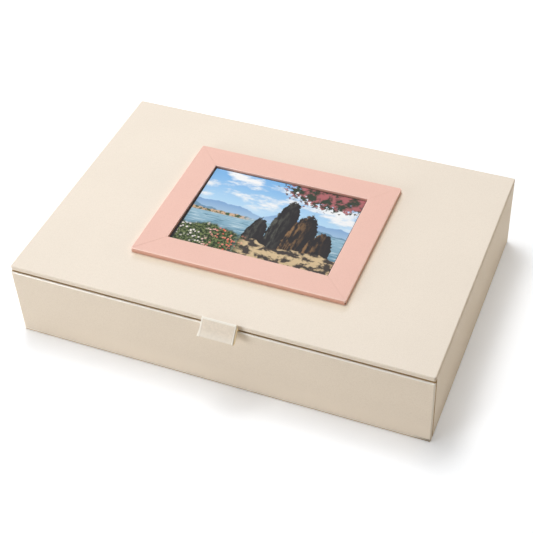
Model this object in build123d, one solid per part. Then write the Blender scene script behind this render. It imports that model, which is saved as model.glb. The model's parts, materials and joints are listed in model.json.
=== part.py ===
from build123d import *
import math
import os

# Album box: a leatherette-covered board tray with a hinged lid, a drop-down
# front flap and a mitred picture frame on the lid. Millimetres, +Z up. The
# origin is on the table, under the middle of the closed box.

# Overall sizes of the closed box, without the frame and the ribbon
box_length = 330.0
box_depth = 224.0
box_height = 67.0

# Sheet materials
cover = 0.5
lining = 0.5
base_sheet_thickness = 0.3
lid_board_thickness = 3.0
flap_board_thickness = 2.0
base_board_thickness = 2.0
wall_board_thickness = 4.0

# Gaps between the moving panels
lid_seat_gap = 0.4
lid_front_setback = 1.0
flap_top_gap = 1.4
flap_back_gap = 1.6
flap_foot_gap = 0.3

# Turned-in cover that frames each lining
turn_in = 4.0
wall_turn_in = 4.0
seam_width = 0.16
seam_overrun = 0.2
seam_end = 1.2

# Roundings of the covered edges
corner_round = 1.5
outer_round = 1.2
lid_edge_round = 0.9
wall_end_round = 0.5
inner_round = 0.5
rim_round = 0.8
foot_round = 0.8

# Hinge cloths
back_cloth_inset = 1.6
hinge_cloth_depth = 16.0
hinge_cloth_setback = 0.6
hinge_relief = 0.05
base_sheet_inset = 3.0
butt_gap = 0.5

# Magnets and their steel plates
magnet_length = 20.0
magnet_width = 3.0
magnet_thickness = 1.5
magnet_pocket_gap = 0.1
flap_magnet_drop = 6.6
lid_magnet_setback = 18.0

# Picture frame on the lid, sized from the print that it holds
print_length = 127.0
print_depth = 89.0
print_thickness = 0.3
print_margin = 1.0
frame_rise = 4.0
rail_width = 21.0
rail_outer_round = 0.8
rail_inner_round = 0.6
mitre_gap = 0.06
backing_thickness = 1.6
backing_gap = 0.2

# Ribbon pull
ribbon_width = 27.0
ribbon_layer = 0.35
ribbon_shift = 7.5
ribbon_tail = 18.0
ribbon_tail_start = 8.5
ribbon_slope_run = 3.2
ribbon_stand_off = 0.6
ribbon_top_rise = 2.5
ribbon_drop = 15.2
ribbon_flare_deg = 40.0
ribbon_recess_gap = 0.3
ribbon_slot_gap = 1.0
ribbon_bend = 0.6
ribbon_crease = 0.45

# Levels and planes that follow from the sizes above
half_x = box_length / 2
front_y = -box_depth / 2
back_y = box_depth / 2
lid_front_y = front_y + lid_front_setback
lid_thickness = lid_board_thickness + cover + lining
flap_thickness = flap_board_thickness + cover + lining

lid_bottom = box_height - lid_thickness
wall_top = lid_bottom - lid_seat_gap
flap_top = lid_bottom - flap_top_gap
cloth_bottom = base_sheet_thickness
base_board_bottom = cloth_bottom + cover
base_board_top = base_board_bottom + base_board_thickness
floor_top = base_board_top + lining
flap_bottom = base_board_bottom + flap_foot_gap
wall_board_top = wall_top - cover
wall_lining_top = wall_board_top - wall_turn_in

flap_inner_y = front_y + flap_thickness
tray_front_y = flap_inner_y + flap_back_gap
wall_front_y = tray_front_y + cover
wall_board_x = half_x - cover
wall_board_inner_x = wall_board_x - wall_board_thickness
back_board_y = back_y - cover
back_board_inner_y = back_board_y - wall_board_thickness
cavity_x = wall_board_inner_x - lining
cavity_back_y = back_board_inner_y - lining

lid_pivot_z = lid_bottom - lid_seat_gap / 2
flap_pivot_z = cloth_bottom

# A margin for cutting bodies that run past what they cut
past = 5.0


def block(x0, x1, y0, y1, z0, z1):
    """A box between two corners."""
    size = Box(x1 - x0, y1 - y0, z1 - z0)
    return Pos((x0 + x1) / 2, (y0 + y1) / 2, (z0 + z1) / 2) * size


def both_sides(piece):
    """A piece and its mirror image across the box's middle plane."""
    return piece, mirror(piece, about=Plane.YZ)


def edges_at(shape, **places):
    """Straight or curved edges whose middle lies at all the given coordinates."""
    found = []
    for edge in shape.edges():
        middle = edge.position_at(0.5)
        if all(abs(getattr(middle, axis) - value) < 1e-4 for axis, value in places.items()):
            found.append(edge)
    return found


def rounded_panel(x0, x1, y0, y1, z0, z1, top, bottom, corner):
    """A flat panel with rounded upright corners and rounded top and bottom edges."""
    panel = block(x0, x1, y0, y1, z0, z1)
    panel = fillet(panel.edges().filter_by(Axis.Z), corner)
    panel = fillet(panel.faces().sort_by(Axis.Z)[-1].edges(), top)
    return fillet(panel.faces().sort_by(Axis.Z)[0].edges(), bottom)


def corner_seams(reach_x, y0, y1, z0, z1):
    """Thin upright cuts along a panel's diagonals, where its turned-in cover meets at the corners."""
    inner_end = turn_in + seam_overrun
    length = (inner_end - seam_end) * math.sqrt(2)
    middle = (inner_end + seam_end) / 2
    seams = Part()
    for side_x in (-1, 1):
        for corner_y, inward in ((y0, 1), (y1, -1)):
            cut = Rot(0, 0, -45 * side_x * inward) * Box(length, seam_width, z1 - z0)
            seams += Pos(side_x * (reach_x - middle), corner_y + inward * middle, (z0 + z1) / 2) * cut
    return seams


# Tray

def magnet_pair(x_inner, y0, z0, size_y, size_z, growth=0.0):
    """Two small bars, one at each side of the box, or the pockets that take them."""
    bar = block(
        x_inner - growth, x_inner + magnet_width + growth,
        y0 - growth, y0 + size_y + growth,
        z0 - growth, z0 + size_z + growth,
    )
    return both_sides(bar)


magnet_x = wall_board_inner_x + (wall_board_thickness - magnet_width) / 2
lid_magnet_y = front_y + lid_magnet_setback
flap_magnet_z = flap_top - flap_magnet_drop - magnet_length


def flap_plates(growth=0.0):
    """Steel plates in the side walls' front ends, behind the flap's magnets."""
    return magnet_pair(magnet_x, wall_front_y, flap_magnet_z, magnet_thickness, magnet_length, growth)


def lid_plates(growth=0.0):
    """Steel plates in the side walls' top edges, under the lid's magnets."""
    plate_z = wall_board_top - magnet_thickness
    return magnet_pair(magnet_x, lid_magnet_y, plate_z, magnet_length, magnet_thickness, growth)


def flap_magnets(growth=0.0):
    """Magnets in the flap's board, against its lining."""
    board_inner_y = flap_inner_y - lining
    magnet_y = board_inner_y - magnet_thickness
    return magnet_pair(magnet_x, magnet_y, flap_magnet_z, magnet_thickness, magnet_length, growth)


def lid_magnets(growth=0.0):
    """Magnets in the underside of the lid's board."""
    magnet_z = lid_bottom + lining
    return magnet_pair(magnet_x, lid_magnet_y, magnet_z, magnet_length, magnet_thickness, growth)


def base_board():
    """The tray's floor board, which the walls stand on."""
    return block(-wall_board_x, wall_board_x, wall_front_y, back_board_y, base_board_bottom, base_board_top)


def side_wall_blank():
    """The right side wall's board before its pockets are cut."""
    return block(
        wall_board_inner_x, wall_board_x, wall_front_y, back_board_inner_y, base_board_top, wall_board_top
    )


def side_wall_boards():
    """Left and right wall boards with the pockets for the steel plates."""
    right = side_wall_blank()
    for plates in (flap_plates(magnet_pocket_gap), lid_plates(magnet_pocket_gap)):
        right = right - plates[0]
    right, left = both_sides(right)
    return left, right


def back_wall_board():
    """The back wall's board, which runs the whole length behind the side walls."""
    return block(
        -wall_board_x, wall_board_x, back_board_inner_y, back_board_y, base_board_top, wall_board_top
    )


def tray_cover():
    """Leatherette over the walls' outsides, top edges and front ends, and under the base."""
    skin = block(-half_x, half_x, tray_front_y, back_y, cloth_bottom, wall_top)
    skin = fillet(skin.edges().filter_by(Axis.Z).group_by(Axis.Y)[-1], outer_round)
    skin = fillet(skin.edges().filter_by(Axis.Z).group_by(Axis.Y)[0], wall_end_round)
    skin = fillet(skin.faces().sort_by(Axis.Z)[-1].edges(), outer_round)
    skin = fillet(skin.faces().sort_by(Axis.Z)[0].edges(), foot_round)
    skin = skin - block(
        -cavity_x, cavity_x, tray_front_y - past, cavity_back_y, base_board_bottom, wall_top + past
    )
    inner_edges = edges_at(skin, X=cavity_x, Z=wall_top)
    inner_edges += edges_at(skin, X=-cavity_x, Z=wall_top)
    inner_edges += edges_at(skin, Y=cavity_back_y, Z=wall_top)
    skin = fillet(inner_edges, rim_round)
    skin = skin - base_board()
    skin = skin - back_wall_board()
    for wall in both_sides(side_wall_blank()):
        skin = skin - wall
    lining_room = block(
        -wall_board_inner_x, wall_board_inner_x, wall_front_y, back_board_inner_y,
        base_board_top, wall_lining_top,
    )
    skin = skin - lining_room
    skin = skin - back_cloth_room()
    front_cloth_room = block(
        -half_x - past, half_x + past, tray_front_y - past,
        front_cloth_end + butt_gap, cloth_bottom - past, base_board_bottom,
    )
    return skin - front_cloth_room


back_cloth_x = half_x - back_cloth_inset
front_cloth_end = front_y + hinge_cloth_depth


def back_cloth_room():
    """Where the back hinge cloth lies on the back wall's board."""
    return block(
        -back_cloth_x, back_cloth_x, back_board_y, back_y + past, base_board_bottom, wall_top + past
    )


def back_hinge_cloth():
    """The lid's leatherette carried on down the back, from the fold to the foot."""
    cloth = block(
        -back_cloth_x, back_cloth_x, back_board_y, back_y, base_board_bottom, lid_pivot_z - hinge_relief
    )
    return cloth


def flap_hinge_cloth():
    """The flap's leatherette carried on under the tray, from the fold to its end."""
    cloth_x = half_x - hinge_cloth_setback
    cloth = block(
        -cloth_x, cloth_x, front_y + hinge_cloth_setback, front_cloth_end, cloth_bottom, base_board_bottom
    )
    return cloth


def base_sheet():
    """A paper sheet over the turned-in covers underneath, which the box stands on."""
    sheet_x = half_x - base_sheet_inset
    return block(
        -sheet_x, sheet_x, front_y + base_sheet_inset, back_y - base_sheet_inset, 0.0, base_sheet_thickness
    )


def floor_lining():
    """Lining on the floor, turned down over the base board's front edge."""
    sheet = block(-cavity_x, cavity_x, tray_front_y, cavity_back_y, base_board_bottom, floor_top)
    nose = edges_at(sheet, Y=tray_front_y, Z=floor_top)
    sheet = fillet(nose, lining)
    return sheet - base_board()


def side_wall_linings():
    """Linings on the inner faces of the side walls."""
    right = block(
        cavity_x, wall_board_inner_x, wall_front_y, back_board_inner_y, base_board_top, wall_lining_top
    )
    right, left = both_sides(right)
    return left, right


def back_wall_lining():
    """Lining on the inner face of the back wall, between the side linings."""
    return block(-cavity_x, cavity_x, cavity_back_y, back_board_inner_y, base_board_top, wall_lining_top)


# Front flap

def flap_blank():
    """The flap's board before its pockets are cut."""
    return block(
        -half_x + cover, half_x - cover, front_y + cover, flap_inner_y - lining,
        flap_bottom + cover, flap_top - cover,
    )


def flap_lining():
    """Lining on the flap's inner face, inside the turned-in border."""
    return block(
        -half_x + turn_in, half_x - turn_in, flap_inner_y - lining, flap_inner_y,
        flap_bottom + turn_in, flap_top - turn_in,
    )


def flap_board():
    """The flap's board with pockets for its magnets."""
    board = flap_blank()
    for pocket in flap_magnets(magnet_pocket_gap):
        board = board - pocket
    return board


def flap_cover():
    """Leatherette wrapped round the flap's board, with rolled edges."""
    skin = block(-half_x, half_x, front_y, flap_inner_y, flap_bottom, flap_top)
    skin = fillet(skin.faces().sort_by(Axis.Y)[0].edges(), outer_round)
    skin = fillet(skin.faces().sort_by(Axis.Y)[-1].edges(), inner_round)
    skin = skin - flap_blank() - flap_lining()
    seams = corner_seams(half_x, flap_bottom, flap_top, -flap_inner_y - past, -flap_inner_y + lining)
    return skin - Rot(90, 0, 0) * seams


# Lid

def lid_blank():
    """The lid's board before its pockets are cut."""
    return block(
        -half_x + cover, half_x - cover, lid_front_y + cover, back_y - cover,
        lid_bottom + lining, box_height - cover,
    )


ribbon_thickness = 2 * ribbon_layer
ribbon_slot_y = lid_front_y + turn_in


def ribbon_recess():
    """The shallow recess in the lid's board that takes the ribbon's glued tail."""
    reach = ribbon_width / 2 + ribbon_recess_gap
    return block(
        ribbon_shift - reach, ribbon_shift + reach,
        ribbon_slot_y, ribbon_slot_y + ribbon_tail,
        lid_bottom + lining - past, lid_bottom + lining + ribbon_thickness,
    )


def ribbon_slot():
    """The slot in the lid's lining that the ribbon comes out of."""
    reach = ribbon_width / 2 + ribbon_recess_gap
    return block(
        ribbon_shift - reach, ribbon_shift + reach,
        ribbon_slot_y, lid_front_y + ribbon_tail_start + ribbon_slot_gap,
        lid_bottom - past, lid_bottom + lining,
    )


def lid_board():
    """The lid's board with pockets for its magnets and the ribbon's tail."""
    board = lid_blank()
    for pocket in lid_magnets(magnet_pocket_gap):
        board = board - pocket
    return board - ribbon_recess()


def lid_lining_blank():
    """The lid's lining before the ribbon's slot is cut."""
    return block(
        -half_x + turn_in, half_x - turn_in, lid_front_y + turn_in, back_y - turn_in,
        lid_bottom, lid_bottom + lining,
    )


def lid_lining():
    """Lining under the lid, inside the turned-in border."""
    return lid_lining_blank() - ribbon_slot()


def lid_cover():
    """Leatherette wrapped over the lid's board and turned in underneath."""
    skin = rounded_panel(
        -half_x, half_x, lid_front_y, back_y, lid_bottom, box_height,
        lid_edge_round, inner_round, corner_round,
    )
    skin = skin - lid_blank() - lid_lining_blank()
    return skin - corner_seams(half_x, lid_front_y, back_y, lid_bottom - past, lid_bottom + lining)


# Picture frame, its backing and its print

window_x = print_length / 2 + print_margin
window_y = print_depth / 2 + print_margin
frame_x = window_x + rail_width
frame_y = window_y + rail_width
frame_top = box_height + frame_rise


def rail_blank():
    """All four rails as one covered ring with rounded outer and window edges."""
    ring = block(-frame_x, frame_x, -frame_y, frame_y, box_height, frame_top)
    ring = fillet(ring.edges().filter_by(Axis.Z), outer_round)
    ring = fillet(ring.faces().sort_by(Axis.Z)[-1].edges(), rail_outer_round)
    ring = ring - block(-window_x, window_x, -window_y, window_y, box_height - past, frame_top + past)
    window_edges = edges_at(ring, X=window_x, Z=frame_top)
    window_edges += edges_at(ring, X=-window_x, Z=frame_top)
    window_edges += edges_at(ring, Y=window_y, Z=frame_top)
    window_edges += edges_at(ring, Y=-window_y, Z=frame_top)
    return fillet(window_edges, rail_inner_round)


def rail_board_ring():
    """The boards inside all four rails, as one ring."""
    outer_x = frame_x - cover
    outer_y = frame_y - cover
    hole_x = window_x + cover
    hole_y = window_y + cover
    ring = block(-outer_x, outer_x, -outer_y, outer_y, box_height, frame_top - cover)
    return ring - block(-hole_x, hole_x, -hole_y, hole_y, box_height - past, frame_top + past)


def mitre_wedge(side):
    """The prism that cuts one rail out of a ring, with half a mitre gap at each end."""
    outer_x = frame_x + past
    outer_y = frame_y + past
    inner_y = window_y - rail_width / 2
    inner_x = outer_x - (outer_y - inner_y)
    mitre_shift = mitre_gap / math.sqrt(2)
    if side in ("front", "back"):
        outline = [
            (-outer_x + mitre_shift, outer_y), (outer_x - mitre_shift, outer_y),
            (inner_x - mitre_shift, inner_y), (-inner_x + mitre_shift, inner_y),
        ]
    else:
        outline = [
            (outer_x, -outer_y + mitre_shift), (outer_x, outer_y - mitre_shift),
            (inner_x, inner_y - mitre_shift), (inner_x, -inner_y + mitre_shift),
        ]
    wedge = extrude(make_face(Polyline(*outline, close=True)), amount=frame_rise + 2 * past)
    wedge = Pos(0, 0, box_height - past) * wedge
    if side == "front":
        wedge = mirror(wedge, about=Plane.XZ)
    if side == "left":
        wedge = mirror(wedge, about=Plane.YZ)
    return wedge


def rails():
    """Board and cover of each mitred rail, by side."""
    boards = rail_board_ring()
    covers = rail_blank() - boards
    cut = {}
    for side in ("front", "back", "left", "right"):
        wedge = mitre_wedge(side)
        cut[side] = (boards & wedge, covers & wedge)
    return cut


def photo_backing():
    """Black card that lifts the print in the frame's window."""
    reach_x = window_x - backing_gap
    reach_y = window_y - backing_gap
    return block(-reach_x, reach_x, -reach_y, reach_y, box_height, box_height + backing_thickness)


def photo_print():
    """The print on its backing card."""
    print_bottom = box_height + backing_thickness
    return block(
        -print_length / 2, print_length / 2, -print_depth / 2, print_depth / 2,
        print_bottom, print_bottom + print_thickness,
    )


# Ribbon pull

def ribbon_tab():
    """A doubled ribbon: glued in the lid, out under its edge, up, creased and flared down."""
    tail_z = lid_bottom + lining + ribbon_thickness / 2
    under_z = lid_bottom - ribbon_thickness / 2
    rise_y = lid_front_y - ribbon_stand_off - ribbon_thickness / 2
    slope_y = lid_front_y + ribbon_tail_start
    crease = (rise_y, box_height + ribbon_top_rise)
    flare = math.radians(ribbon_flare_deg)
    tip = (crease[0] - ribbon_drop * math.sin(flare), crease[1] - ribbon_drop * math.cos(flare))
    route = FilletPolyline(
        (ribbon_slot_y + ribbon_tail, tail_z),
        (slope_y, tail_z),
        (slope_y - ribbon_slope_run, under_z),
        (rise_y, under_z),
        crease,
        tip,
        radius=(ribbon_bend, ribbon_bend, ribbon_bend, ribbon_crease),
    )
    section = Plane.YZ * trace(route, line_width=ribbon_thickness)
    strip = extrude(section, amount=ribbon_width / 2, both=True)
    strip = Pos(ribbon_shift, 0, 0) * strip
    end_edges = []
    for edge in strip.edges().filter_by(Axis.X):
        if edge.position_at(0.5).Y < tip[0] + ribbon_layer:
            end_edges.append(edge)
    return fillet(end_edges, ribbon_layer * 0.9)


# Writing the sub-parts

def write(name, *solids):
    """One STEP file for a node, of one solid or a group of separate solids."""
    shape = solids[0] if len(solids) == 1 else Compound(children=list(solids))
    export_step(shape, "parts/" + name + ".step")


os.makedirs("parts", exist_ok=True)

left_wall, right_wall = side_wall_boards()
left_lining, right_lining = side_wall_linings()
write("base_board", base_board())
write("left_wall_board", left_wall)
write("right_wall_board", right_wall)
write("back_wall_board", back_wall_board())
write("tray_cover", tray_cover())
write("back_hinge_cloth", back_hinge_cloth())
write("flap_hinge_cloth", flap_hinge_cloth())
write("base_sheet", base_sheet())
write("floor_lining", floor_lining())
write("left_wall_lining", left_lining)
write("right_wall_lining", right_lining)
write("back_wall_lining", back_wall_lining())
write("flap_steel_plates", *flap_plates())
write("lid_steel_plates", *lid_plates())

write("flap_board", flap_board())
write("flap_cover", flap_cover())
write("flap_lining", flap_lining())
write("flap_magnets", *flap_magnets())

write("lid_board", lid_board())
write("lid_cover", lid_cover())
write("lid_lining", lid_lining())
write("lid_magnets", *lid_magnets())
for rail_side, (rail_board, rail_cover) in rails().items():
    write("frame_board_" + rail_side, rail_board)
    write("frame_cover_" + rail_side, rail_cover)
write("photo_backing", photo_backing())
write("photo_print", photo_print())
write("ribbon_tab", ribbon_tab())

cavity_size = (2 * cavity_x, cavity_back_y - flap_inner_y, lid_bottom - floor_top)
print("Inside of the closed box:", " x ".join(f"{size:.1f}" for size in cavity_size), "mm")
print(f"Lid pivot: y {back_y:.2f}, z {lid_pivot_z:.2f}; flap pivot: y {front_y:.2f}, z {flap_pivot_z:.2f}")
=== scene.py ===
"""Album box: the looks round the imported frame, in metres, with the same axes as the model."""

import json
import math

import bmesh
import bpy
from mathutils import Matrix, Vector


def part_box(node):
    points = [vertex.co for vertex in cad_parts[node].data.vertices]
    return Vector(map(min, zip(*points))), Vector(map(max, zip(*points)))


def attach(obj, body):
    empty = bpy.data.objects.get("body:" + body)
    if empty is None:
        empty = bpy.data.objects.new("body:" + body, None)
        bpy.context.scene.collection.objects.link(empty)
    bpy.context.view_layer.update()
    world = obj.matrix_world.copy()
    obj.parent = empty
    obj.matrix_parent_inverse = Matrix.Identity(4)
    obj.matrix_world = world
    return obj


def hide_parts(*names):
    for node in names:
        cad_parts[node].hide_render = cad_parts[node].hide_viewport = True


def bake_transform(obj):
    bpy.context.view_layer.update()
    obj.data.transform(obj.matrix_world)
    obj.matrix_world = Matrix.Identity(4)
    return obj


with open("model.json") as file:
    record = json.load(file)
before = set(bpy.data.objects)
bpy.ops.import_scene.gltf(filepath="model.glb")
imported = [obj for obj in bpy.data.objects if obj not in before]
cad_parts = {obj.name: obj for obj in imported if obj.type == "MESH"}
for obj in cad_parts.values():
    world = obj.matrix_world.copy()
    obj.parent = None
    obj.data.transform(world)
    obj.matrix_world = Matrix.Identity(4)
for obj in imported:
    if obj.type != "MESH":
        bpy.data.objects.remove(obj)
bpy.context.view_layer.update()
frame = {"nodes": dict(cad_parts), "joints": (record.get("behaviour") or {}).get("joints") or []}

MM = 0.001


# Colours

WHITE = (1.0, 1.0, 1.0)
CREAM = (0.88, 0.79, 0.68)
CREAM_SHADOW = (0.70, 0.60, 0.49)
# Painted highlight on rounded edges, and beside the fold at the flap's foot
CREAM_HIGHLIGHT = (1.0, 0.95, 0.86)
# Painted shade on the lid's ends
CREAM_END_SHADE = (0.72, 0.61, 0.49)
# Painted light on the flap's foot
CREAM_FOOT_LIGHT = (0.93, 0.833, 0.716)
# Dark brown: painted shade in the walls' seams and at the fold's bend, and the lid's dark back corner tucks
DEEP_BROWN = (0.50, 0.33, 0.15)
# Painted shade in the gap under the lid's front edge
GAP_SHADE = (0.72, 0.50, 0.25)
FRAME_SHADE = (0.81, 0.79, 0.71)
PINK = (0.87, 0.555, 0.47)
PINK_SHADOW = (0.70, 0.40, 0.32)
# Painted highlight on the frame's rounded edges and corner tucks
PINK_HIGHLIGHT = (0.95, 0.68, 0.59)
# Painted shade on the frame's upright sides
PINK_SIDE_SHADE = (0.77, 0.43, 0.34)
# Painted shade at the foot of the frame's sides
PINK_FOOT_SHADE = (0.69, 0.37, 0.27)
# Painted shade in the small opening at each frame corner
PINK_OPENING_SHADE = (0.22, 0.10, 0.07)
LINING = (0.84, 0.76, 0.66)
BOARD_DARK = (0.30, 0.28, 0.25)
BOARD_PALE = (0.42, 0.40, 0.36)
BOARD_FLECK = (0.12, 0.11, 0.10)
PAPER = (0.74, 0.69, 0.61)
STEEL = (0.56, 0.56, 0.57)
NICKEL = (0.66, 0.64, 0.61)
CARD_DARK = (0.008, 0.008, 0.009)
CARD_PALE = (0.022, 0.021, 0.021)
# Painted shade along the print's left edge
PRINT_EDGE_SHADE = (0.012, 0.012, 0.013)
RIBBON = (0.87, 0.77, 0.645)
# Pale selvedges, and painted highlight on the ribbon's folds
RIBBON_PALE_AND_HIGHLIGHT = (0.95, 0.90, 0.81)
# Painted light on the ribbon's back layer, where it shows at the right
RIBBON_BACK_LIGHT = (0.94, 0.74, 0.44)


# Camera

IMAGE_SIZE = 533
FOCAL_PIXELS = 1204.1
SENSOR = 36.0
CAMERA_PLACE = Vector((0.2845, -0.6385, 0.6768))
CAMERA_AZIMUTH = math.radians(24.35)
CAMERA_ELEVATION = math.radians(43.24)
CAMERA_ROLL = math.radians(-3.38)
CLIP = (0.01, 20.0)


def make_camera():
    """The photograph's view: from the front right, well above the lid."""
    data = bpy.data.cameras.new("camera")
    data.sensor_width = SENSOR
    data.lens = FOCAL_PIXELS / IMAGE_SIZE * SENSOR
    data.clip_start, data.clip_end = CLIP
    camera = bpy.data.objects.new("camera", data)
    bpy.context.scene.collection.objects.link(camera)
    azimuth, elevation, roll = CAMERA_AZIMUTH, CAMERA_ELEVATION, CAMERA_ROLL
    forward = Vector((
        -math.sin(azimuth) * math.cos(elevation),
        math.cos(azimuth) * math.cos(elevation),
        -math.sin(elevation),
    ))
    level_right = Vector((math.cos(azimuth), math.sin(azimuth), 0.0))
    level_up = level_right.cross(forward)
    right = level_right * math.cos(roll) + level_up * math.sin(roll)
    up = level_up * math.cos(roll) - level_right * math.sin(roll)
    turn = Matrix((right, up, -forward)).transposed()
    camera.matrix_world = Matrix.Translation(CAMERA_PLACE) @ turn.to_4x4()
    bpy.context.scene.camera = camera


# Shader nodes

class Shader:
    """A material's node tree, with one short call for each kind of node in use."""

    def __init__(self, name):
        self.material = bpy.data.materials.new(name)
        self.material.use_nodes = True
        self.tree = self.material.node_tree
        self.tree.nodes.clear()
        self.surface = self.node("ShaderNodeBsdfPrincipled")
        self.output = self.node("ShaderNodeOutputMaterial")
        self.tree.links.new(self.surface.outputs[0], self.output.inputs[0])
        spots = self.node("ShaderNodeTexCoord")
        self.place = spots.outputs["Object"]
        self.normal = spots.outputs["Normal"]
        # A mask of what is polished, where a material has such a part
        self.polish = None

    def node(self, kind, inputs=None, **settings):
        """A new node with its settings, and its inputs set or linked by name or number."""
        made = self.tree.nodes.new(kind)
        for key, value in settings.items():
            setattr(made, key, value)
        for key, value in (inputs or {}).items():
            self.plug(made.inputs[key], value)
        return made

    def plug(self, socket, value):
        """Links a socket, or writes a number or colour on it."""
        if isinstance(value, bpy.types.NodeSocket):
            self.tree.links.new(value, socket)
        elif socket.type == "RGBA" and len(value) == 3:
            socket.default_value = (*value, 1.0)
        else:
            socket.default_value = value

    def set(self, **inputs):
        """Sets the surface shader's inputs, whose names have a space for each underscore."""
        for key, value in inputs.items():
            self.plug(self.surface.inputs[key.replace("_", " ")], value)

    def math(self, operation, first, second=0.0, third=0.0):
        """One step of arithmetic."""
        inputs = {0: first, 1: second, 2: third}
        return self.node("ShaderNodeMath", inputs, operation=operation).outputs[0]

    def product(self, first, *others):
        """Two or more values multiplied."""
        for other in others:
            first = self.math("MULTIPLY", first, other)
        return first

    def apart(self, first, second):
        """How far two values are apart."""
        return self.math("ABSOLUTE", self.math("SUBTRACT", first, second))

    def step(self, value, low, high, to_low=0.0, to_high=1.0):
        """A smooth step of value between low and high."""
        inputs = {0: value, 1: low, 2: high, 3: to_low, 4: to_high}
        return self.node("ShaderNodeMapRange", inputs, interpolation_type="SMOOTHSTEP").outputs[0]

    def mix(self, share, first, second, blend="MIX"):
        """A colour between two colours."""
        inputs = {0: share, 6: first, 7: second}
        return self.node("ShaderNodeMix", inputs, data_type="RGBA", blend_type=blend).outputs[2]

    def parts(self, vector):
        """The x, y and z of a vector."""
        return tuple(self.node("ShaderNodeSeparateXYZ", {0: vector}).outputs)

    def stretched(self, vector, factors):
        """A vector with each coordinate multiplied by its factor."""
        return self.node("ShaderNodeVectorMath", {0: vector, 1: factors}, operation="MULTIPLY").outputs[0]

    def noise(self, scale, detail=2.0, roughness=0.5, vector=None):
        """Soft noise of 0 to 1."""
        inputs = {"Scale": scale, "Detail": detail, "Roughness": roughness, "Vector": vector or self.place}
        return self.node("ShaderNodeTexNoise", inputs).outputs[0]

    def cells(self, scale, vector=None, smoothness=None):
        """The distance to the nearest of scattered points, with smooth borders if a smoothness is given."""
        inputs = {"Scale": scale, "Vector": vector or self.place}
        if smoothness is None:
            return self.node("ShaderNodeTexVoronoi", inputs, feature="F1").outputs[0]
        inputs["Smoothness"] = smoothness
        return self.node("ShaderNodeTexVoronoi", inputs, feature="SMOOTH_F1").outputs[0]

    def bump(self, height, depth, strength=1.0, normal=None):
        """A normal from a height of 0 to 1 that stands for depth metres."""
        inputs = {"Height": height, "Distance": depth, "Strength": strength}
        if normal:
            inputs["Normal"] = normal
        return self.node("ShaderNodeBump", inputs).outputs[0]


def shade(colour, factor):
    """A colour with every part multiplied."""
    return tuple(part * factor for part in colour)


# Materials

LEATHER_ROUGHNESS = (0.52, 0.64)
LEATHER_SPECULAR = 0.32
POLISHED_SPECULAR = 1.0
# The share of its roughness that polished leather keeps
POLISHED_ROUGHNESS = 0.4


def leatherette(name, colour, shadow_colour, rolled=None, upright=None, marks_and_shading=None):
    """Coated book cloth: a fine pebble, slight clouding and a low sheen.

    It can have a painted highlight where it rolls over an edge and a painted shade where it stands
    upright, and a function that draws its marks and its painted light and shade.
    """
    s = Shader(name)
    clouds = s.noise(14.0, 3.0)
    fibres = s.noise(420.0, 4.0, 0.6)
    pebbles = s.cells(1500.0, smoothness=0.6)
    wear = s.noise(60.0, 5.0, 0.65)
    base = s.mix(s.step(clouds, 0.3, 0.7), shade(colour, 0.985), shade(colour, 1.01))
    base = s.mix(s.step(fibres, 0.35, 0.75, 0.0, 0.35), base, shade(colour, 0.95))
    base = s.mix(s.step(pebbles, 0.25, 0.75, 0.0, 0.22), base, shadow_colour)
    facing = s.parts(s.normal)
    lean = [s.math("ABSOLUTE", part) for part in facing]
    # Painted shade where the cover stands upright
    if upright:
        base = s.mix(s.step(lean[2], 0.6, 0.25), base, upright)
    # Painted highlight where the cover rolls over an edge
    if rolled:
        flattest = s.math("MAXIMUM", s.math("MAXIMUM", lean[0], lean[1]), lean[2])
        base = s.mix(s.step(flattest, 0.985, 0.90), base, rolled)
    # Marks, and painted light and shade, from the given function
    if marks_and_shading:
        base = marks_and_shading(s, base, facing)
    roughness = s.step(wear, 0.3, 0.7, *LEATHER_ROUGHNESS)
    specular = LEATHER_SPECULAR
    if s.polish:
        roughness = s.product(roughness, s.step(s.polish, 0.0, 1.0, 1.0, POLISHED_ROUGHNESS))
        specular = s.step(s.polish, 0.0, 1.0, LEATHER_SPECULAR, POLISHED_SPECULAR)
    s.set(Base_Color=base, Roughness=roughness, Specular_IOR_Level=specular)
    grain = s.bump(s.math("SUBTRACT", 1.0, pebbles), 0.035 * MM)
    grain = s.bump(fibres, 0.03 * MM, normal=grain)
    s.set(Normal=s.bump(clouds, 0.5 * MM, 0.35, normal=grain))
    return s.material


def suede(name, colour):
    """Flocked lining with a soft nap."""
    s = Shader(name)
    nap = s.noise(900.0, 6.0, 0.7)
    strokes = s.noise(1.0, 3.0, vector=s.stretched(s.place, (18.0, 60.0, 60.0)))
    base = s.mix(s.step(nap, 0.3, 0.7), shade(colour, 0.9), shade(colour, 1.06))
    base = s.mix(s.step(strokes, 0.4, 0.65, 0.0, 0.5), base, shade(colour, 0.95))
    s.set(Base_Color=base, Roughness=0.92, Specular_IOR_Level=0.2)
    s.set(Sheen_Weight=0.25, Sheen_Roughness=0.5, Sheen_Tint=colour)
    s.set(Normal=s.bump(nap, 0.08 * MM))
    return s.material


def greyboard(name):
    """Grey recycled board with flecks of fibre."""
    s = Shader(name)
    fibre = s.noise(1.0, 5.0, 0.65, vector=s.stretched(s.place, (500.0, 900.0, 2600.0)))
    flecks = s.cells(700.0)
    base = s.mix(s.step(fibre, 0.35, 0.65), BOARD_DARK, BOARD_PALE)
    base = s.mix(s.step(flecks, 0.02, 0.16, 0.7, 0.0), base, BOARD_FLECK)
    s.set(Base_Color=base, Roughness=0.9, Specular_IOR_Level=0.25)
    s.set(Normal=s.bump(fibre, 0.06 * MM))
    return s.material


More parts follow.
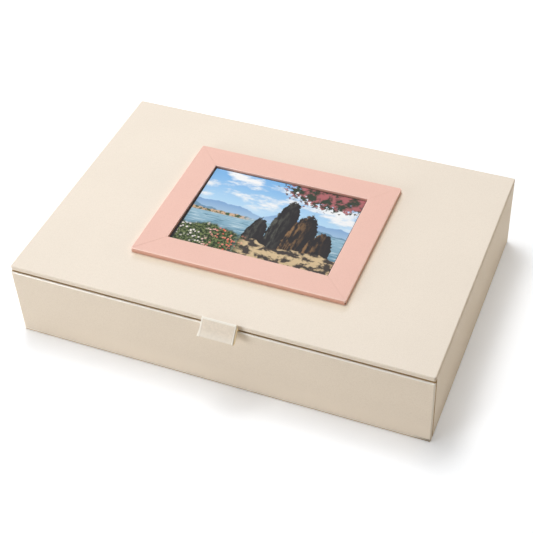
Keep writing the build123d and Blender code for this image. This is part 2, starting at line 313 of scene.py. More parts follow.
def paper(name, colour):
    """Plain uncoated paper with faint clouding."""
    s = Shader(name)
    formation = s.noise(180.0, 4.0, 0.6)
    fibre = s.noise(1400.0, 3.0, 0.6)
    base = s.mix(s.step(formation, 0.35, 0.65), shade(colour, 0.96), shade(colour, 1.02))
    base = s.mix(s.step(fibre, 0.4, 0.8, 0.0, 0.4), base, shade(colour, 0.93))
    s.set(Base_Color=base, Roughness=0.85, Specular_IOR_Level=0.3)
    s.set(Normal=s.bump(fibre, 0.015 * MM))
    return s.material


def bright_metal(name, colour, roughness):
    """Plated or rolled metal with fine scratches along its length."""
    s = Shader(name)
    scratches = s.noise(1.0, 3.0, vector=s.stretched(s.place, (9000.0, 600.0, 9000.0)))
    stain = s.noise(350.0, 4.0)
    base = s.mix(s.step(stain, 0.4, 0.7), colour, shade(colour, 0.82))
    s.set(Base_Color=base, Metallic=1.0)
    s.set(Roughness=s.step(scratches, 0.3, 0.7, roughness, roughness + 0.14))
    s.set(Normal=s.bump(scratches, 0.004 * MM))
    return s.material


def black_card(name):
    """Black mounting card with a dry, fibrous face."""
    s = Shader(name)
    fibre = s.noise(1600.0, 4.0, 0.6)
    base = s.mix(s.step(fibre, 0.35, 0.7), CARD_DARK, CARD_PALE)
    s.set(Base_Color=base, Roughness=0.8, Specular_IOR_Level=0.3)
    s.set(Normal=s.bump(fibre, 0.03 * MM))
    return s.material


THREAD = 0.32 * MM


def woven_ribbon(name, middle, half_width, tip_z, fold_z):
    """Cotton ribbon: a plain weave, soft clouding and pale selvedges.

    Its folds have a painted highlight, and the back layer's edge painted light.
    """
    s = Shader(name)
    x, y, z = s.parts(s.place)
    wave = 2 * math.pi / THREAD
    across = s.math("SINE", s.product(x, wave))
    along = s.math("SINE", s.product(s.math("ADD", y, z), wave))
    weave = s.product(across, along, 0.5)
    clouds = s.noise(420.0, 4.0, 0.65)
    slubs = s.noise(1.0, 3.0, vector=s.stretched(s.place, (260.0, 1800.0, 1800.0)))
    base = s.mix(s.step(clouds, 0.35, 0.65), shade(RIBBON, 0.93), shade(RIBBON, 1.04))
    base = s.mix(s.step(slubs, 0.45, 0.7, 0.0, 0.5), base, shade(RIBBON, 0.93))
    base = s.mix(s.step(weave, -0.3, 0.6, 0.25, 0.0), base, shade(RIBBON, 0.85))
    # Painted highlight: paler towards the fold at the tip
    base = s.mix(s.step(z, tip_z + 6.0 * MM, tip_z + 0.5 * MM, 0.0, 0.45), base, RIBBON_PALE_AND_HIGHLIGHT)
    from_middle = s.apart(x, middle)
    stitch = s.step(s.apart(from_middle, half_width - 1.5 * MM), 0.4 * MM, 0.1 * MM)
    base = s.mix(s.product(stitch, 0.5), base, shade(RIBBON, 0.86))
    selvedge = s.step(from_middle, half_width - 1.3 * MM, half_width - 0.8 * MM)
    base = s.mix(selvedge, base, RIBBON_PALE_AND_HIGHLIGHT)
    # Painted highlight along the top fold
    base = s.mix(s.step(z, fold_z - 1.1 * MM, fold_z - 0.3 * MM), base, RIBBON_PALE_AND_HIGHLIGHT)
    # Painted light: golden on the back layer beyond the front one, and on faces turned to the right
    past_edge = s.math("SUBTRACT", x, middle + half_width)
    base = s.mix(s.step(past_edge, 0.26 * MM, 0.36 * MM), base, RIBBON_BACK_LIGHT)
    to_right = s.parts(s.normal)[0]
    base = s.mix(s.step(to_right, 0.45, 0.65), base, RIBBON_BACK_LIGHT)
    s.set(Base_Color=base, Roughness=0.82, Specular_IOR_Level=0.25)
    s.set(Sheen_Weight=0.15, Sheen_Roughness=0.4)
    s.set(Normal=s.bump(slubs, 0.02 * MM, normal=s.bump(weave, 0.02 * MM)))
    return s.material


# The print: a made-up shore, in the colours and at the scale of a holiday snapshot

class Print(Shader):
    """The print's material. Its places across and up are in units of the print's depth."""

    def __init__(self, name):
        super().__init__(name)
        low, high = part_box("photo_print")
        depth = high.y - low.y
        x, y = self.parts(self.place)[:2]
        self.across = self.math("DIVIDE", self.math("SUBTRACT", x, low.x), depth)
        self.up = self.math("DIVIDE", self.math("SUBTRACT", y, low.y), depth)
        self.spot = self.node("ShaderNodeCombineXYZ", {0: self.across, 1: self.up}).outputs[0]

    def texture(self, scale, detail=4.0, stretch=(1.0, 1.0, 1.0), roughness=0.6):
        """A noise over the print."""
        return self.noise(scale, detail, roughness, vector=self.stretched(self.spot, stretch))

    def ridge(self, level, height, scale, shift):
        """The height of a ridge line, which varies only across."""
        line = self.node("ShaderNodeCombineXYZ", {0: self.across, 1: shift}).outputs[0]
        return self.math("MULTIPLY_ADD", self.noise(scale, 5.0, 0.5, vector=line), height, level)

    def below(self, line, softness=0.006):
        """A mask of 1 below a line."""
        return self.step(self.math("SUBTRACT", self.up, line), -softness, softness, 1.0, 0.0)

    def ellipse(self, centre, reach, edge, softness=0.03):
        """A mask of 1 inside an ellipse, whose edge is roughened by a noise."""
        side = self.math("DIVIDE", self.math("SUBTRACT", self.across, centre[0]), reach[0])
        rise = self.math("DIVIDE", self.math("SUBTRACT", self.up, centre[1]), reach[1])
        distance = self.math("ADD", self.product(side, side), self.product(rise, rise))
        distance = self.math("ADD", distance, edge)
        return self.step(distance, 1.0 - softness, 1.0 + softness, 1.0, 0.0)


def sky(p):
    """Blue sky, paler low down, with drifting cloud."""
    picture = p.mix(p.step(p.up, 0.45, 1.0), (0.50, 0.72, 0.90), (0.22, 0.47, 0.80))
    cloud = p.step(p.texture(2.6, 6.0, (1.0, 2.3, 1.0)), 0.47, 0.62)
    return p.mix(p.product(cloud, p.step(p.up, 0.52, 0.66)), picture, (0.90, 0.91, 0.92))


def hills(p, picture):
    """A far and a near range of blue hills."""
    far = p.below(p.ridge(0.42, 0.30, 2.2, 3.0))
    picture = p.mix(far, picture, p.mix(p.step(p.up, 0.45, 0.62), (0.36, 0.53, 0.72), (0.20, 0.36, 0.62)))
    near = p.below(p.ridge(0.33, 0.30, 3.1, 8.0))
    return p.mix(near, picture, p.mix(p.texture(16.0), (0.10, 0.22, 0.36), (0.22, 0.36, 0.48)))


def water(p, picture):
    """Water with pale and dark ripples."""
    ripple = p.texture(5.0, 6.0, (1.0, 9.0, 1.0), 0.65)
    sea = p.mix(p.step(p.up, 0.1, 0.45), (0.12, 0.26, 0.36), (0.30, 0.48, 0.60))
    sea = p.mix(p.step(ripple, 0.5, 0.68), sea, (0.56, 0.70, 0.76))
    sea = p.mix(p.step(ripple, 0.46, 0.34), sea, (0.06, 0.17, 0.25))
    return p.mix(p.below(0.455, 0.004), picture, sea)


def spit(p, picture):
    """A low spit of sand and scrub on the left, across the water."""
    shown = p.product(
        p.below(p.ridge(0.40, 0.14, 4.0, 15.0)), p.step(p.across, 0.62, 0.44), p.step(p.up, 0.425, 0.435),
    )
    scrub = p.mix(p.step(p.texture(30.0), 0.42, 0.55), (0.06, 0.10, 0.05), (0.62, 0.42, 0.28))
    return p.mix(shown, picture, scrub)


# The dark rocks by centre and reach, in units of the print's depth
DARK_ROCKS = (
    ((0.86, 0.30), (0.115, 0.50)),
    ((1.05, 0.24), (0.135, 0.42)),
    ((0.66, 0.16), (0.10, 0.34)),
    ((1.24, 0.18), (0.12, 0.30)),
)


def dark_rocks(p, picture, ragged):
    """Tall dark rocks, every second one browner on its lit side."""
    furrows = p.texture(9.0, 6.0, (3.0, 0.8, 1.0))
    edge = p.math("MULTIPLY_ADD", ragged, 0.9, -0.45)
    for number, (centre, reach) in enumerate(DARK_ROCKS):
        rock = p.ellipse(centre, reach, edge)
        lit = p.step(p.math("SUBTRACT", p.across, centre[0]), 0.08, -0.10)
        lit = p.product(lit, p.step(furrows, 0.45, 0.62))
        warm = (0.26, 0.15, 0.075) if number % 2 else (0.10, 0.10, 0.085)
        picture = p.mix(rock, picture, p.mix(lit, (0.020, 0.018, 0.020), warm))
    return picture


def rock_shelf(p, picture):
    """A shelf of rock in the foreground on the right, pale on top and dark between."""
    shown = p.product(p.below(p.ridge(0.02, 0.32, 2.6, 21.0)), p.step(p.across, 0.50, 0.62))
    strata = p.texture(7.0, 5.0, (1.6, 2.4, 1.0))
    rock = p.mix(p.step(strata, 0.44, 0.56), (0.055, 0.045, 0.040), (0.66, 0.50, 0.30))
    return p.mix(shown, picture, rock)


def flowers(p, picture):
    """A bank of pale and coral flowers on the lower left."""
    bank = p.product(p.below(p.ridge(0.02, 0.46, 3.4, 33.0), 0.02), p.step(p.across, 0.66, 0.50))
    petals = p.step(p.cells(34.0, vector=p.spot), 0.42, 0.30)
    bloom = p.product(petals, p.step(p.texture(6.0), 0.42, 0.52))
    green = p.mix(p.step(p.texture(40.0), 0.45, 0.6), (0.020, 0.035, 0.015), (0.16, 0.20, 0.08))
    coral = p.mix(p.step(p.texture(14.0), 0.4, 0.6), (0.74, 0.12, 0.07), (0.80, 0.32, 0.24))
    blossom = p.mix(p.step(p.across, 0.2, 0.4), (0.80, 0.74, 0.70), coral)
    return p.mix(bank, picture, p.mix(bloom, green, blossom))


def branch(p, picture, ragged):
    """A leafy branch that hangs in from the top right."""
    edge = p.math("MULTIPLY_ADD", ragged, 3.4, -1.7)
    shown = p.ellipse((1.16, 1.04), (0.46, 0.26), edge, 0.1)
    leaf = p.mix(p.step(p.texture(11.0), 0.45, 0.6), (0.035, 0.050, 0.035), (0.42, 0.14, 0.15))
    return p.mix(shown, picture, leaf)


def print_edge_shade(p, picture):
    """Painted shade: a thin near-black wedge along the print's left edge, widest low down."""
    edge = p.product(p.math("SUBTRACT", 1.1, p.up), 0.016)
    shown = p.step(p.math("SUBTRACT", p.across, edge), 0.0015, -0.0015)
    return p.mix(shown, picture, PRINT_EDGE_SHADE)


def holiday_print(name):
    """A satin print of a bay with cloud, hills, tall dark rocks, a rock shelf and coral flowers."""
    p = Print(name)
    ragged = p.texture(26.0, 5.0)
    picture = water(p, hills(p, sky(p)))
    picture = dark_rocks(p, spit(p, picture), ragged)
    picture = flowers(p, rock_shelf(p, picture))
    # Painted shade at the print's left edge
    picture = print_edge_shade(p, branch(p, picture, ragged))
    p.set(Base_Color=picture, Roughness=0.4, Specular_IOR_Level=0.15)
    p.set(Normal=p.bump(p.noise(600.0, 2.0), 0.002 * MM))
    return p.material


# Mesh pieces

def mesh_object(name, vertices, faces, material):
    """A smooth-shaded mesh piece with one material."""
    data = bpy.data.meshes.new(name)
    data.from_pydata(vertices, [], faces)
    data.update()
    data.shade_smooth()
    data.materials.append(material)
    piece = bpy.data.objects.new(name, data)
    bpy.context.scene.collection.objects.link(piece)
    return piece


def arc(centre, radius, start_degrees, end_degrees, steps):
    """Points (y, z) on an arc, its ends included."""
    found = []
    for step in range(steps + 1):
        angle = math.radians(start_degrees + (end_degrees - start_degrees) * step / steps)
        found.append((centre[0] + radius * math.cos(angle), centre[1] + radius * math.sin(angle)))
    return found


def along_line(start, end, steps):
    """Points (y, z) on a line, without its last end."""
    return [
        (start[0] + (end[0] - start[0]) * step / steps, start[1] + (end[1] - start[1]) * step / steps)
        for step in range(steps)
    ]


def line_normals(line):
    """The unit normal at each point of a line of (y, z) points."""
    normals = []
    for index in range(len(line)):
        before = Vector(line[max(index - 1, 0)])
        after = Vector(line[min(index + 1, len(line) - 1)])
        heading = (after - before).normalized()
        normals.append(Vector((-heading.y, heading.x)))
    return normals


def strip_faces(count, columns):
    """The quads of a thick strip, for two layers of count rows with columns + 1 points in each row."""
    row = columns + 1
    back = count * row
    faces = []
    for index in range(count - 1):
        for column in range(columns):
            a = index * row + column
            faces.append((a, a + 1, a + row + 1, a + row))
            faces.append((back + a, back + a + row, back + a + row + 1, back + a + 1))
    for index in range(count - 1):
        for a in (index * row, index * row + columns):
            quad = (a, a + row, back + a + row, back + a)
            faces.append(quad if a % row == 0 else quad[::-1])
    for column in range(columns):
        for a in (column, (count - 1) * row + column):
            quad = (a, back + a, back + a + 1, a + 1)
            faces.append(quad if a < row else quad[::-1])
    return faces


def strip_mesh(name, line, x0, x1, columns, thickness, material, warp=None):
    """A thick strip that follows a line of (y, z) points, from x0 to x1, both faces and all edges closed."""
    normals = line_normals(line)
    vertices = []
    for side in (0.5, -0.5):
        for index, (y, z) in enumerate(line):
            for column in range(columns + 1):
                share = column / columns
                offset = normals[index] * side * thickness
                point = Vector((x0 + (x1 - x0) * share, y + offset.x, z + offset.y))
                if warp:
                    point += warp(share, index)
                vertices.append(point)
    piece = mesh_object(name, vertices, strip_faces(len(line), columns), material)
    fix = bmesh.new()
    fix.from_mesh(piece.data)
    bmesh.ops.recalc_face_normals(fix, faces=fix.faces)
    fix.to_mesh(piece.data)
    fix.free()
    return piece


# Floor, world and lamps

FLOOR_REACH = 6.0
# Distances from the box between which the lit floor fades to plain white
FLOOR_FADE = (0.42, 0.75)
FLOOR_BOUNCE = (0.85, 0.785, 0.68)
FLOOR_FACE = (0.98, 1.0, 1.03)
FLOOR_LIFT = 0.2


def make_floor():
    """A floor that is white to the camera where nothing shades it, and warm to the light it bounces."""
    far = FLOOR_REACH
    corners = [(-far, -far, 0.0), (far, -far, 0.0), (far, far, 0.0), (-far, far, 0.0)]
    s = Shader("floor_white")
    s.tree.nodes.remove(s.surface)
    seen = s.node("ShaderNodeLightPath").outputs
    direct = s.math("MAXIMUM", seen["Is Camera Ray"], seen["Is Glossy Ray"])
    direct = s.math("MAXIMUM", direct, seen["Is Transmission Ray"])
    bounce = s.node("ShaderNodeBsdfDiffuse", {"Color": FLOOR_BOUNCE}).outputs[0]
    face = s.node("ShaderNodeBsdfDiffuse", {"Color": FLOOR_FACE}).outputs[0]
    lift = s.node("ShaderNodeEmission", {"Color": WHITE, "Strength": FLOOR_LIFT}).outputs[0]
    shown = s.node("ShaderNodeAddShader", {0: face, 1: lift}).outputs[0]
    away = s.node("ShaderNodeVectorMath", {0: s.place}, operation="LENGTH").outputs["Value"]
    plain = s.node("ShaderNodeEmission", {"Color": WHITE, "Strength": 1.0}).outputs[0]
    shown = s.node("ShaderNodeMixShader", {0: s.step(away, *FLOOR_FADE), 1: shown, 2: plain}).outputs[0]
    mixed = s.node("ShaderNodeMixShader", {0: direct, 1: bounce, 2: shown}).outputs[0]
    s.tree.links.new(mixed, s.output.inputs[0])
    mesh_object("floor", corners, [(0, 1, 2, 3)], s.material)


def make_world():
    """A room that is plain white to the camera and in reflections, and gives no light of its own."""
    world = bpy.data.worlds.new("room")
    world.use_nodes = True
    tree = world.node_tree
    tree.nodes.clear()
    seen = tree.nodes.new("ShaderNodeLightPath").outputs
    shown = seen["Is Camera Ray"]
    for kind in ("Is Glossy Ray", "Is Transmission Ray"):
        either = tree.nodes.new("ShaderNodeMath")
        either.operation = "MAXIMUM"
        tree.links.new(shown, either.inputs[0])
        tree.links.new(seen[kind], either.inputs[1])
        shown = either.outputs[0]
    white = tree.nodes.new("ShaderNodeBackground")
    white.inputs["Color"].default_value = (*WHITE, 1.0)
    tree.links.new(shown, white.inputs["Strength"])
    output = tree.nodes.new("ShaderNodeOutputWorld")
    tree.links.new(white.outputs[0], output.inputs[0])
    bpy.context.scene.world = world


# What every lamp faces: a spot just below the lid's middle
LAMP_TARGET = Vector((0.0, 0.0, 0.05))
LAMP_WARM = (1.12, 1.0, 0.82)

# Lamps by place, size, level and colour
LAMPS = {
    "top": ((0.0, 0.1, 1.5), 1.3, 0.38, WHITE),
    "over": ((-0.40, -0.05, 1.6), 0.45, 0.13, WHITE),
    "over_back": ((-0.30, 0.45, 1.6), 0.6, 0.365, WHITE),
    "top_left": ((-0.7, 0.4, 1.4), 0.8, 0.147, WHITE),
    "front_left": ((-1.2, -1.5, 0.42), 0.9, 0.535, WHITE),
    "right": ((1.6, 0.9, 0.35), 0.6, 0.165, LAMP_WARM),
}


def area_lamp(name, place, size, level, colour):
    """A square lamp that lights a surface which faces it to the given level."""
    data = bpy.data.lights.new(name, "AREA")
    data.shape = "SQUARE"
    data.size = size
    data.color = colour
    away = Vector(place) - LAMP_TARGET
    data.energy = level * math.pi ** 2 * away.length_squared
    lamp = bpy.data.objects.new(name, data)
    lamp.location = place
    lamp.rotation_mode = "QUATERNION"
    lamp.rotation_quaternion = away.to_track_quat("Z", "Y")
    bpy.context.scene.collection.objects.link(lamp)


make_camera()
make_world()
make_floor()
for lamp_name, (lamp_place, lamp_size, lamp_level, lamp_colour) in LAMPS.items():
    area_lamp(lamp_name, lamp_place, lamp_size, lamp_level, lamp_colour)
bpy.context.scene.view_settings.view_transform = "Standard"


# Painted light and shade, marks and polish of the covers

def wall_end_seam_shade(s, base, facing):
    """Painted shade: a thin brown line on the walls' front ends, at their outer edge, in the seam beside the
    flap.
    """
    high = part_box("tray_cover")[1]
    x = s.parts(s.place)[0]
    outside = s.step(s.math("ABSOLUTE", x), high.x - 0.9 * MM, high.x - 0.6 * MM)
    ahead = s.step(facing[1], -0.15, -0.55)
    # Painted shade in the seam between the walls' front ends and the flap
    return s.mix(s.product(outside, ahead), base, DEEP_BROWN)


def frame_outline():
    """The picture frame's low and high corners on the lid, in x and y."""
    low = Vector((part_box("frame_cover_left")[0].x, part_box("frame_cover_front")[0].y))
    high = Vector((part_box("frame_cover_right")[1].x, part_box("frame_cover_back")[1].y))
    return low, high


# How far the shade beside the frame reaches, to the right and to the front
SHADE_REACH = (4.8 * MM, 10.0 * MM)


def frame_shade(s, base, place, facing):
    """The photo's soft brown shade on the lid, right of the frame and in front of it.

    It fades with the distance from a rectangle that ends with the frame at the right and the front,
    and lies so far under the frame at the left and the back that no shade shows there.
    """
    low, high = frame_outline()
    low.x += SHADE_REACH[0] * 1.2
    high.y -= SHADE_REACH[1]
    squares = []
    for axis in (0, 1):
        away = s.apart(place[axis], (low[axis] + high[axis]) / 2)
        beyond = s.math("MAXIMUM", s.math("SUBTRACT", away, (high[axis] - low[axis]) / 2), 0.0)
        share = s.math("DIVIDE", beyond, SHADE_REACH[axis])
        squares.append(s.product(share, share))
    distance = s.math("SQRT", s.math("ADD", squares[0], squares[1]))
    level = s.step(facing[2], 0.9, 0.98)
    less_at_foot = s.step(distance, 0.0, 0.3, 0.5, 1.0)
    shaded = s.product(s.step(distance, 1.0, 0.0), level, less_at_foot)
    return s.mix(shaded, base, s.mix(1.0, base, FRAME_SHADE, "MULTIPLY"))


def lid_edges(s, base, facing):
    """The lid's ends in painted shade, the dark tucks at its back corners and the painted shade beside the
    frame.
    """
    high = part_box("lid_cover")[1]
    place = s.parts(s.place)
    # Painted shade on the lid's ends, the faces that turn to the sides
    base = s.mix(s.step(s.math("ABSOLUTE", facing[0]), 0.35, 0.75), base, CREAM_END_SHADE)
    tuck = s.product(
        s.step(s.math("ABSOLUTE", place[0]), high.x - 1.3 * MM, high.x - 0.8 * MM),
        s.step(place[1], high.y - 1.3 * MM, high.y - 0.8 * MM),
        s.step(place[2], high.z - 0.3 * MM, high.z - 0.9 * MM),
    )
    return frame_shade(s, s.mix(tuck, base, DEEP_BROWN), place, facing)


# The heights between which the flap's foot is painted paler, as painted light, and the length over which
# that fades in
FLAP_FOOT = (26 * MM, 3 * MM)
FLAP_FOOT_FADE = 100 * MM


def flap_edges(s, base, facing):
    """The flap's foot painted paler as painted light, its polished rounded top edge, and painted brown shade
    behind that.
    """
    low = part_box("flap_cover")[0]
    x, y, z = s.parts(s.place)
    # Painted light: the flap paler towards its foot, fading in from its left end
    foot = s.product(s.step(z, *FLAP_FOOT), s.step(x, low.x, low.x + FLAP_FOOT_FADE))
    base = s.mix(foot, base, CREAM_FOOT_LIGHT)
    rounded = s.product(s.step(facing[2], 0.15, 0.35), s.step(facing[2], 0.995, 0.97))
    s.polish = s.product(rounded, s.step(facing[1], 0.05, -0.05))
    # Painted shade: brown on the flap's top behind its front edge, under the lid
    top = s.step(facing[2], 0.75, 0.95)
    behind = s.step(y, low.y + 1.2 * MM, low.y + 1.5 * MM)
    return s.mix(s.product(top, behind), base, GAP_SHADE)


def fold_shade_and_highlight(s, base, facing):
    """The fold at the flap's foot: brown painted shade where it bends and a pale painted highlight beside
    it.
    """
    bent = s.node("ShaderNodeAttribute", attribute_name="bend").outputs["Fac"]
    # Painted highlight beside the bend
    base = s.mix(s.step(bent, 0.02, 0.30), base, CREAM_HIGHLIGHT)
    # Painted shade where it bends
    return s.mix(s.step(bent, 0.6, 0.9), base, DEEP_BROWN)


# How much a mitre line shows, except the one at the front left, which shows in full
MITRE_SHOWS = 0.12


def frame_marks_and_shading(s, base, facing):
    """The frame's foot in painted shade, its mitre lines, and each corner's tuck.

    Each tuck is a painted highlight with painted shade in its small opening.
    """
    low, high = frame_outline()
    middle, reach = (low + high) / 2, (high - low) / 2
    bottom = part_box("frame_cover_front")[0].z
    place = s.parts(s.place)
    lean_up = s.math("ABSOLUTE", facing[2])
    gaps = [s.math("SUBTRACT", reach[axis], s.apart(place[axis], middle[axis])) for axis in (0, 1)]
    # Painted shade at the foot of the frame's upright sides
    foot = s.product(s.step(place[2], bottom + 2.6 * MM, bottom + 0.8 * MM), s.step(lean_up, 0.6, 0.25))
    base = s.mix(foot, base, PINK_FOOT_SHADE)
    mitre = s.product(s.step(s.apart(gaps[0], gaps[1]), 0.50 * MM, 0.15 * MM), s.step(lean_up, 0.6, 0.9))
    front_left = s.product(s.step(place[0], 10 * MM, -10 * MM), s.step(place[1], 10 * MM, -10 * MM))
    shows = s.math("MULTIPLY_ADD", front_left, 1.0 - MITRE_SHOWS, MITRE_SHOWS)
    base = s.mix(s.product(mitre, shows), base, PINK_SHADOW)
    corner = s.math("MAXIMUM", gaps[0], gaps[1])
    # Painted highlight on each corner's tuck
    tuck = s.product(
        s.step(corner, 1.5 * MM, 0.9 * MM), s.step(place[2], bottom + 1.6 * MM, bottom + 2.2 * MM),
    )
    base = s.mix(tuck, base, PINK_HIGHLIGHT)
    # Painted shade in each corner tuck's small opening
    hole = s.product(
        s.step(s.apart(place[2], bottom + 1.7 * MM), 0.65 * MM, 0.4 * MM),
        s.step(corner, 0.95 * MM, 0.65 * MM),
    )
    return s.mix(hole, base, PINK_OPENING_SHADE)


# Finishes of the CAD nodes

cream = leatherette("cream_leatherette", CREAM, CREAM_SHADOW)
cream_walls = leatherette("cream_leatherette_walls", CREAM, CREAM_SHADOW, marks_and_shading=wall_end_seam_shade)
cream_lid = leatherette("cream_leatherette_lid", CREAM, CREAM_SHADOW, marks_and_shading=lid_edges)
cream_flap = leatherette(
    "cream_leatherette_flap", CREAM, CREAM_SHADOW, rolled=CREAM_HIGHLIGHT, marks_and_shading=flap_edges
)
cream_fold = leatherette("cream_leatherette_fold", CREAM, CREAM_SHADOW, marks_and_shading=fold_shade_and_highlight)
pink = leatherette(
    "pink_leatherette", PINK, PINK_SHADOW, rolled=PINK_HIGHLIGHT, upright=PINK_SIDE_SHADE, marks_and_shading=frame_marks_and_shading
)
lining = suede("suede_lining", LINING)
board = greyboard("greyboard")
base_paper = paper("base_paper", PAPER)
steel = bright_metal("plate_steel", STEEL, 0.30)
magnet = bright_metal("magnet_metal", NICKEL, 0.18)
card = black_card("black_card")
snapshot = holiday_print("photo_paper")

finishes = {
    cream: ["back_hinge_cloth", "flap_hinge_cloth"],
    cream_lid: ["lid_cover"],
    cream_walls: ["tray_cover"],
    cream_flap: ["flap_cover"],
    pink: ["frame_cover_front", "frame_cover_back", "frame_cover_left", "frame_cover_right"],
    lining: [
        "floor_lining", "left_wall_lining", "right_wall_lining", "back_wall_lining", "flap_lining",
        "lid_lining",
    ],
    board: [
        "base_board", "left_wall_board", "right_wall_board", "back_wall_board", "flap_board", "lid_board",
        "frame_board_front", "frame_board_back", "frame_board_left", "frame_board_right",
    ],
    base_paper: ["base_sheet"],
    steel: ["flap_steel_plates", "lid_steel_plates"],
    magnet: ["flap_magnets", "lid_magnets"],
    card: ["photo_backing"],
    snapshot: ["photo_print"],
}
for finish, node_names in finishes.items():
    for node_name in node_names:
        for material_slot in frame["nodes"][node_name].material_slots:
            material_slot.material = finish


# The ribbon pull

RIBBON_LAYER = 0.35 * MM
# The part of a layer's thickness that the cloth fills, and half the air between the two layers
CLOTH_SHARE = 0.8
HALF_AIR = 0.03 * MM
# Where the tail leaves its recess, behind the cover's front edge, and how far forward it slopes down
SLOPE_START = 8.5 * MM
SLOPE_LENGTH = 3.2 * MM
# The air between the lid's front edge and the ribbon that rises before it
RISE_AIR = 0.60 * MM
# The radii of the route's four inner corners
RIBBON_BENDS = (0.6 * MM, 0.6 * MM, 0.7 * MM, 0.6 * MM)
# The longest span between two rows of points, and the spans across the ribbon
RIBBON_SPAN = 0.6 * MM
RIBBON_COLUMNS = 40
# How far the back layer lies to the right of the front one
BACK_STEP = 1.15 * MM
LEFT_FLARE = 0.9 * MM
RIGHT_FLARE = 0.25 * MM
CORNER_LIFT = 0.35 * MM
# The lift's heading in y and z: forward and up
LIFT_HEADING = (-0.77, 0.64)
# Flare and lift are gone at one part in this many of the way from the tip to the crease
FLARE_END = 2.2


def ribbon_route():
    """The doubled ribbon's middle line: out of the lid, up, over the crease and down to the fold."""
    low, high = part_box("ribbon_tab")
    lid_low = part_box("lid_board")[0]
    cover_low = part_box("lid_cover")[0]
    tail_z = lid_low.z + RIBBON_LAYER
    under_z = cover_low.z - RIBBON_LAYER
    rise_y = cover_low.y - RISE_AIR - RIBBON_LAYER
    slope_y = cover_low.y + SLOPE_START
    return [
        Vector((high.y - 0.1 * MM, tail_z)),
        Vector((slope_y, tail_z)),
        Vector((slope_y - SLOPE_LENGTH, under_z)),
        Vector((rise_y, under_z)),
        Vector((rise_y, high.z + 0.10 * MM)),
        Vector((low.y + RIBBON_LAYER, low.z + RIBBON_LAYER)),
    ]


def rounded_route(points, radii, steps=6):
    """The (y, z) line through the points with each inner corner rounded by its radius."""
    found = [tuple(points[0])]
    for index in range(1, len(points) - 1):
        before = (points[index - 1] - points[index]).normalized()
        after = (points[index + 1] - points[index]).normalized()
        half = before.angle(after) / 2
        cut = radii[index - 1] / math.tan(half)
        start = points[index] + before * cut
        end = points[index] + after * cut
        for step in range(steps + 1):
            share = step / steps
            first = start.lerp(points[index], share)
            second = points[index].lerp(end, share)
            found.append(tuple(first.lerp(second, share)))
    found.append(tuple(points[-1]))
    return found


def offset_line(line, distance):
    """The line moved sideways by a distance."""
    return [
        (y + normal.x * distance, z + normal.y * distance)
        for (y, z), normal in zip(line, line_normals(line))
    ]


def finer(line, longest):
    """The line with every span longer than longest divided."""
    found = []
    for start, end in zip(line, line[1:]):
        span = math.dist(start, end)
        found += along_line(start, end, max(1, math.ceil(span / longest)))
    return found + [line[-1]]


def ribbon_layers():
    """The (y, z) points of the front layer, of the loop round the tip and of the back layer."""
    line = rounded_route(ribbon_route(), RIBBON_BENDS)
    gap = RIBBON_LAYER / 2 + HALF_AIR
    front = finer(offset_line(line, -gap), RIBBON_SPAN)
    back = finer(offset_line(line, gap), RIBBON_SPAN)[::-1]
    tip = Vector(line[-1])
    drop = (tip - Vector(line[-2])).normalized()
    side = Vector((-drop.y, drop.x))
    loop = []
    for step in range(1, 8):
        angle = math.pi * step / 8
        loop.append(tuple(tip + drop * (1.6 * gap * math.sin(angle)) - side * (gap * math.cos(angle))))
    return front, loop, back


def ribbon_warp(front, loop, back):
    """The function that moves the ribbon's points off its flat layers."""
    whole = front + loop + back
    crease = max(range(len(front)), key=lambda index: front[index][1])
    tip_z = min(point[1] for point in loop)
    fall = front[crease][1] - tip_z

    def warp(share, index):
        """Corners that flare near the tip, and the back layer's step to the right between tip and crease."""
        y, z = whole[index]
        rise = 1.0
        if crease < index < len(whole) - crease and y < whole[crease][0]:
            rise = min(max((z - tip_z) / fall, 0.0), 1.0)
        near_tip = max(0.0, 1.0 - rise * FLARE_END) ** 2
        # The high powers keep the flare and the lift at the corners
        sideways = 2 * share - 1
        flare = (LEFT_FLARE if sideways < 0 else RIGHT_FLARE) * near_tip * sideways * abs(sideways) ** 5
        lift = CORNER_LIFT * near_tip * abs(sideways) ** 6
        # The step is 0.4 of its size at the tip, whole over most of the way, and gone at the crease
        shift = 0.0
        if index > len(front) + len(loop) // 2 and rise < 1.0:
            shift = BACK_STEP * min(1.0, 0.4 + rise * 6.0) * min(1.0, (1.0 - rise) * 6.0)
        return Vector((flare + shift, lift * LIFT_HEADING[0], lift * LIFT_HEADING[1]))

    return warp


def make_ribbon():
    """One ribbon in two layers with a soft fold at the tip."""
    low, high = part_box("ribbon_tab")
    front, loop, back = ribbon_layers()
    whole = front + loop + back
    tip_z = min(point[1] for point in loop)
    fold_z = max(point[1] for point in front)
    material = woven_ribbon("cream_ribbon", (low.x + high.x) / 2, (high.x - low.x) / 2, tip_z, fold_z)
    piece = strip_mesh(
        "ribbon_pull", whole, low.x, high.x, RIBBON_COLUMNS, RIBBON_LAYER * CLOTH_SHARE, material,
        ribbon_warp(front, loop, back),
    )
    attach(piece, "lid")
    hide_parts("ribbon_tab")


make_ribbon()


# Where the covers bend over the two hinges

# How far a fold stands out from the cloth beside it
FOLD_PROUD = 0.04 * MM
FOLD_THICKNESS = 0.12 * MM
FOLD_COLUMNS = 24
GROOVE_DEPTH = 0.30 * MM
GROOVE_STEPS = 16
# How far the groove, and the whole fold, reach below and above the lid's pivot
GROOVE_BELOW = 0.9 * MM
GROOVE_ABOVE = 1.1 * MM
FOLD_BELOW = 2.4 * MM
FOLD_ABOVE = 1.7 * MM
# The flap's fold: its radius, how far it reaches under the tray and up the flap, and the blend's reach
FLAP_BEND = 0.45 * MM
UNDER_TRAY = 4.0 * MM
UP_THE_FLAP = 1.9 * MM
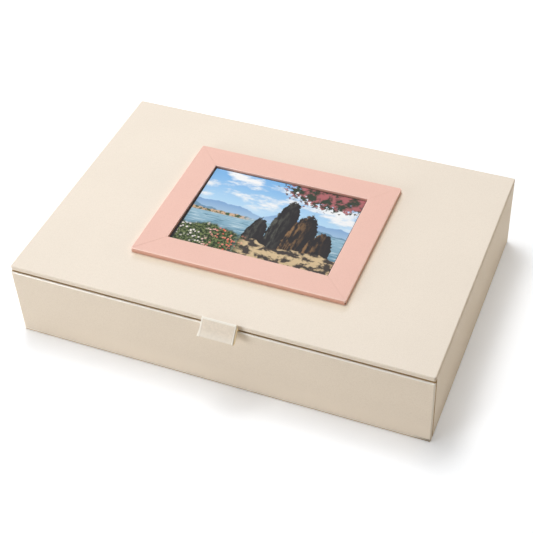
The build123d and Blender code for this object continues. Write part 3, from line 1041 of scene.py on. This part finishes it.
# How far the painted shade and highlight reach from the bend's corner, and the length over which they fade
# out
BEND_PAINT_REACH = 1.9 * MM
BEND_PAINT_FADE = 1.3 * MM


def lid_hinge_skin():
    """The cover's own fold at the back, from the back wall over the hinge groove to the lid."""
    low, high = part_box("back_hinge_cloth")
    face_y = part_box("lid_cover")[1].y
    pivot_z = next(j for j in frame["joints"] if j["name"] == "lid_hinge")["pos_m"][2]
    line = [(face_y + FOLD_PROUD, pivot_z - FOLD_BELOW)]
    for step in range(GROOVE_STEPS + 1):
        share = step / GROOVE_STEPS
        z = pivot_z - GROOVE_BELOW + (GROOVE_BELOW + GROOVE_ABOVE) * share
        line.append((face_y + FOLD_PROUD - GROOVE_DEPTH * math.sin(math.pi * share) ** 2, z))
    line.append((face_y + FOLD_PROUD, pivot_z + FOLD_ABOVE))
    piece = strip_mesh("lid_hinge_fold", line, low.x, high.x, FOLD_COLUMNS, FOLD_THICKNESS, cream)
    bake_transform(piece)


def mark_bend(piece, corner):
    """Writes how near each point lies to the bend's corner (y, z): 1 at the bend and 0 beside it."""
    bent = piece.data.attributes.new("bend", "FLOAT", "POINT")
    for vertex, value in zip(piece.data.vertices, bent.data):
        away = (Vector((vertex.co.y, vertex.co.z)) - corner).length
        value.value = min(max((BEND_PAINT_REACH - away) / BEND_PAINT_FADE, 0.0), 1.0)


def flap_hinge_skin():
    """The cover's own fold at the foot of the flap, from under the tray to the flap's face."""
    low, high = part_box("flap_hinge_cloth")
    flap_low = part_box("flap_cover")[0]
    bottom_z = low.z - FOLD_PROUD
    front_y = flap_low.y - FOLD_PROUD
    line = along_line((front_y + UNDER_TRAY, bottom_z), (front_y + FLAP_BEND, bottom_z), 8)
    line += arc((front_y + FLAP_BEND, bottom_z + FLAP_BEND), FLAP_BEND, -90, -180, 10)
    line += along_line((front_y, bottom_z + FLAP_BEND + 0.1 * MM), (front_y, flap_low.z + UP_THE_FLAP), 6)
    piece = strip_mesh("flap_hinge_fold", line, low.x, high.x, FOLD_COLUMNS, FOLD_THICKNESS, cream_fold)
    mark_bend(piece, Vector((front_y, bottom_z)))
    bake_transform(piece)


lid_hinge_skin()
flap_hinge_skin()
